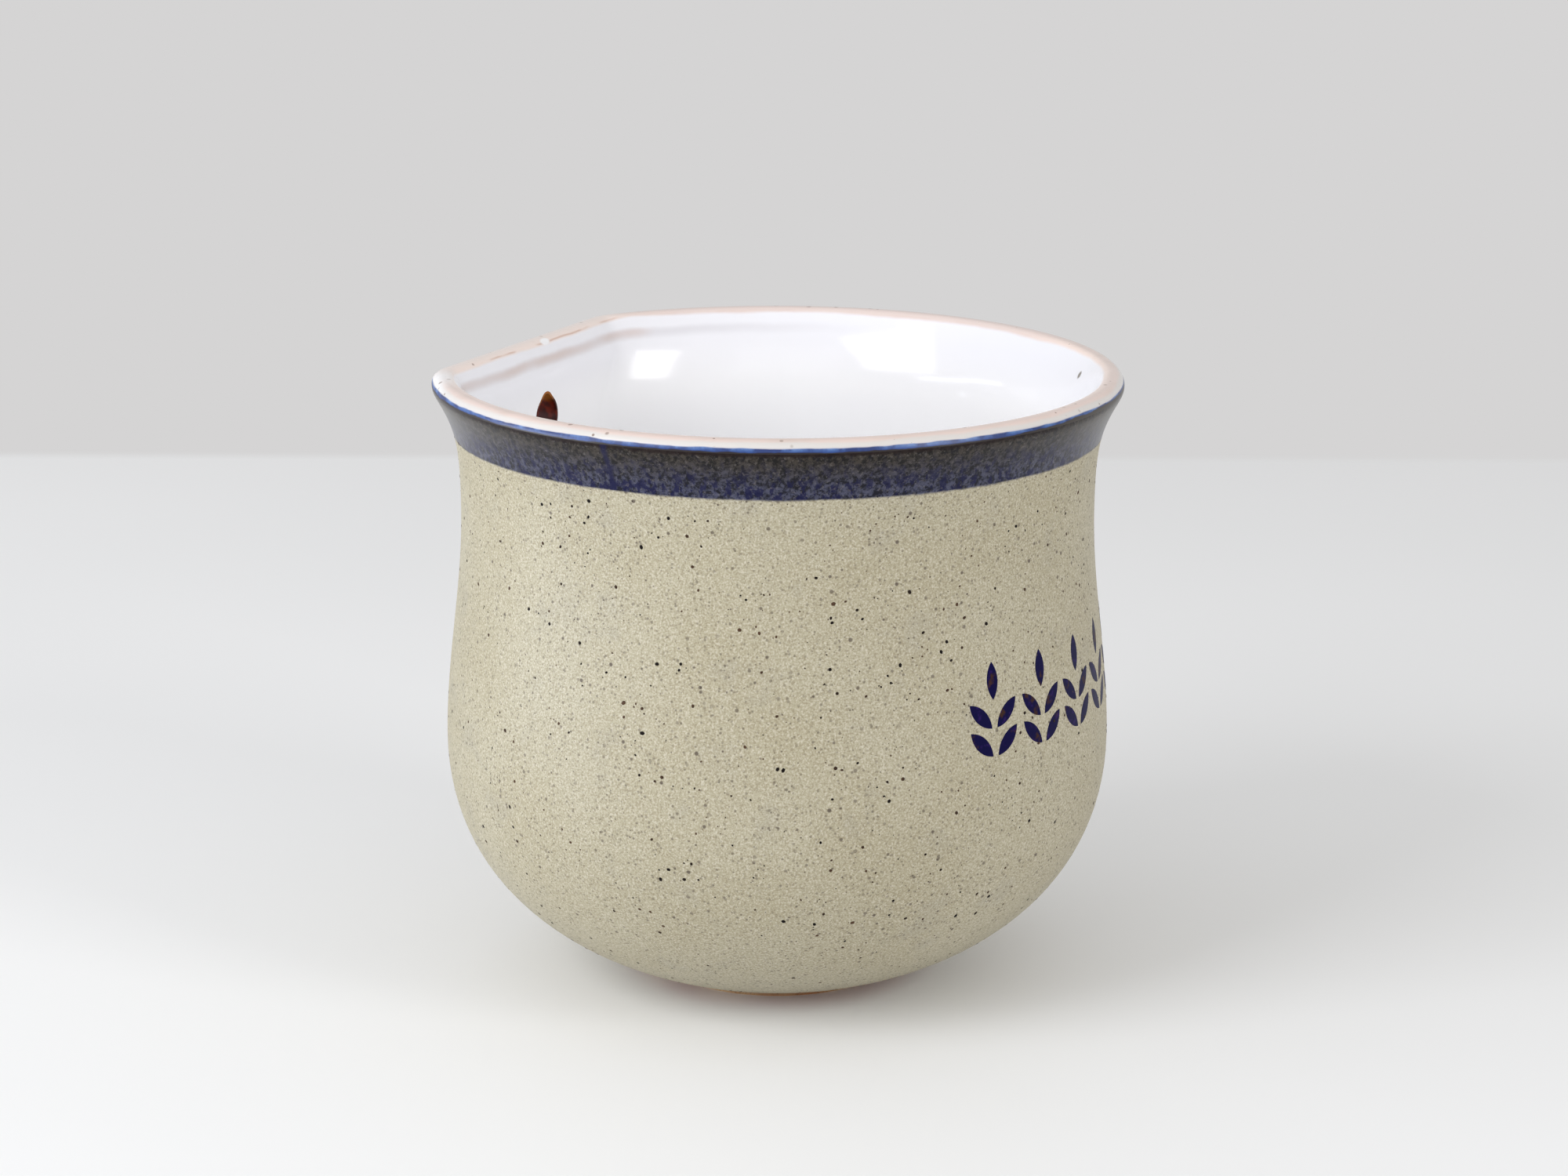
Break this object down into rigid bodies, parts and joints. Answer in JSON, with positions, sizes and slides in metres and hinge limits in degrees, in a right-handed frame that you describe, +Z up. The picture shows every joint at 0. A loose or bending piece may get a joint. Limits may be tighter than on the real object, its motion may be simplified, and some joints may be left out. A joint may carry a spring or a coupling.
{
  "type": "salt pot",
  "caption": "Open round stoneware salt pot with a flared rim, rounded belly, flat back and a teardrop hanging hole; stands on its foot or hangs on a wall screw.",
  "frame": {"origin": "on the pot's axis of turning, in the plane of the foot ring", "axes": "+Z up along the axis of turning, +Y out of the flat back, -Y the stencilled front"},
  "size_m": [0.116, 0.1091, 0.1045],
  "materials": {
    "fired_clay": "bare toasted stoneware",
    "white_glaze": "gloss white",
    "lip_wash": "thin wiped glaze, pinkish",
    "blue_line": "gloss cobalt blue",
    "blue_grey_band": "satin mottled blue-grey",
    "speckled_glaze": "satin speckled oatmeal",
    "cobalt_stencil": "satin dark cobalt",
    "brown_glaze": "gloss brown"
  },
  "bodies": {
    "root": {"stoneware_body": "fired_clay", "lining_glaze": "white_glaze", "lip_glaze": "lip_wash", "rim_line": "blue_line", "rim_band": "blue_grey_band", "outer_glaze": "speckled_glaze", "stencil_sprigs": "cobalt_stencil", "hole_lining": "brown_glaze"}
  },
  "joints": []
}
